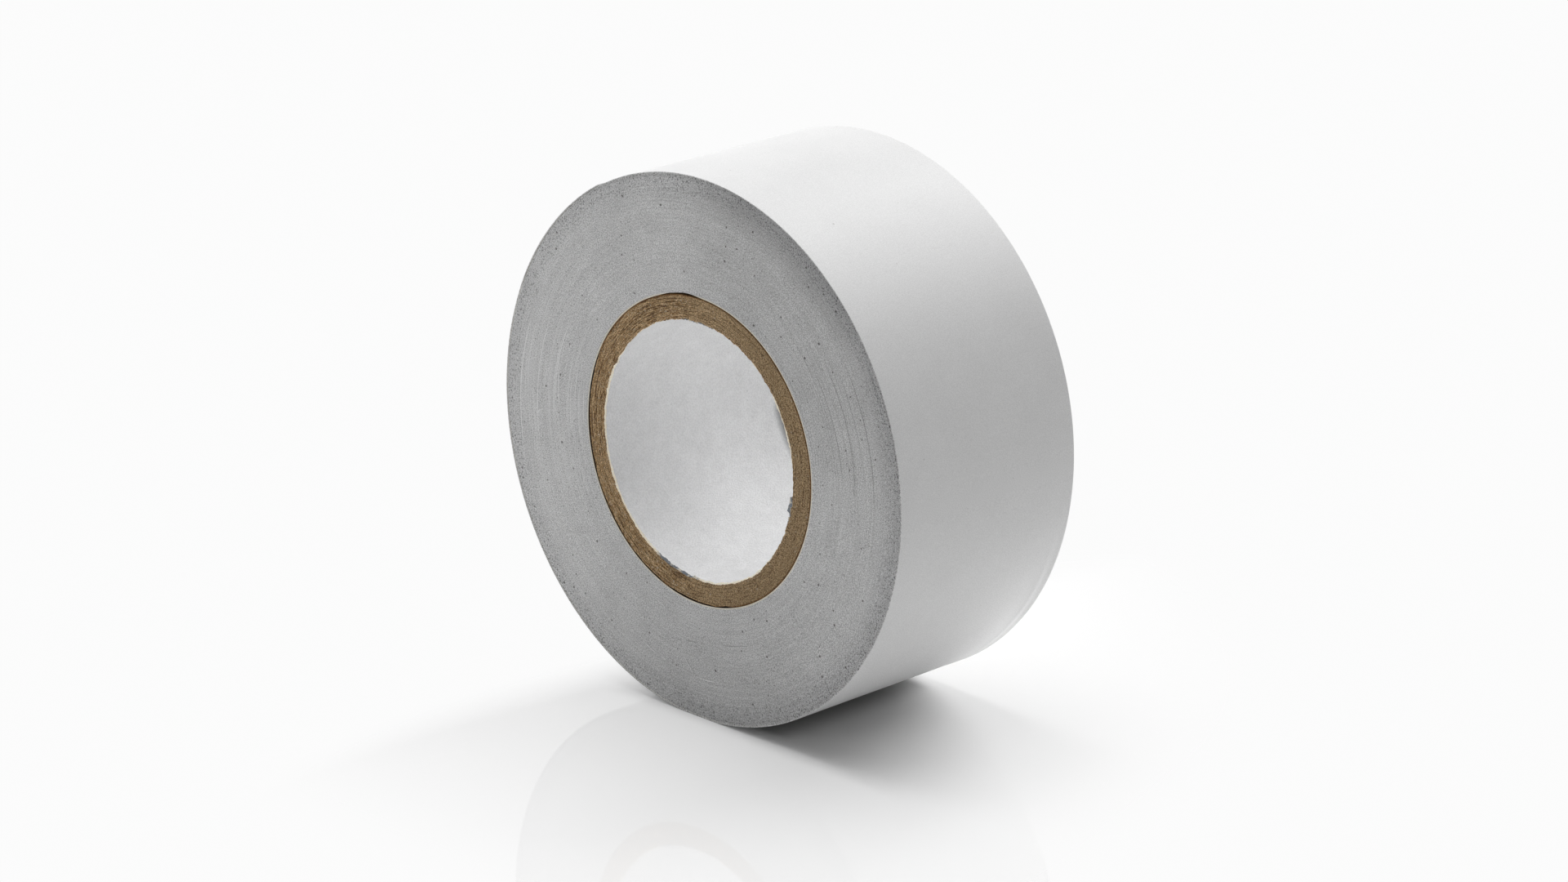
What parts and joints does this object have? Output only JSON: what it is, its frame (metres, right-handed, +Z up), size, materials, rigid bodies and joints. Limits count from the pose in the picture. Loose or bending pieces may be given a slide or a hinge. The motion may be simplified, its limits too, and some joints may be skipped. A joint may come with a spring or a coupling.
{
  "type": "roll of pvc tape",
  "caption": "Full roll of white PVC tape wound on a laminated card core, with a free end that peels back.",
  "frame": {"origin": "on the axis of the core's hole, at the middle of the tape's width", "axes": "+Y along the hole, from the pictured face to the other; +Z up, as the roll stands on its edge; +X to the right of the pictured face"},
  "size_m": [0.0813, 0.035, 0.0807],
  "materials": {
    "liner_paper": "matte",
    "core_card": "matte",
    "tape_pack": "satin",
    "tape_film": "satin"
  },
  "bodies": {
    "roll": {"core_liner": "liner_paper", "core_ply_1": "core_card", "core_ply_2": "core_card", "core_ply_3": "core_card", "core_ply_4": "core_card", "core_ply_5": "core_card", "core_ply_6": "core_card", "tape_winding": "tape_pack", "tape_outer_turn": "tape_film"},
    "tail_root": {"tape_tail_root": "tape_film"},
    "tail_middle": {"tape_tail_middle": "tape_film"},
    "tail_tip": {"tape_tail_tip": "tape_film"}
  },
  "joints": [
    {"name": "end_peel", "type": "hinge", "parent": "roll", "child": "tail_root", "pos_m": [-0.03658, 0, 0.01813], "axis": [0, -1, 0], "range_deg": [0, 40]},
    {"name": "end_bend_1", "type": "hinge", "parent": "tail_root", "child": "tail_middle", "pos_m": [-0.03236, 0, 0.02491], "axis": [0, -1, 0], "range_deg": [0, 36]},
    {"name": "end_bend_2", "type": "hinge", "parent": "tail_middle", "child": "tail_tip", "pos_m": [-0.02689, 0, 0.03073], "axis": [0, -1, 0], "range_deg": [0, 36]}
  ],
  "couplings": [
    {"joint": "end_bend_1", "follows": "end_peel", "ratio": 0.9},
    {"joint": "end_bend_2", "follows": "end_peel", "ratio": 0.9}
  ]
}
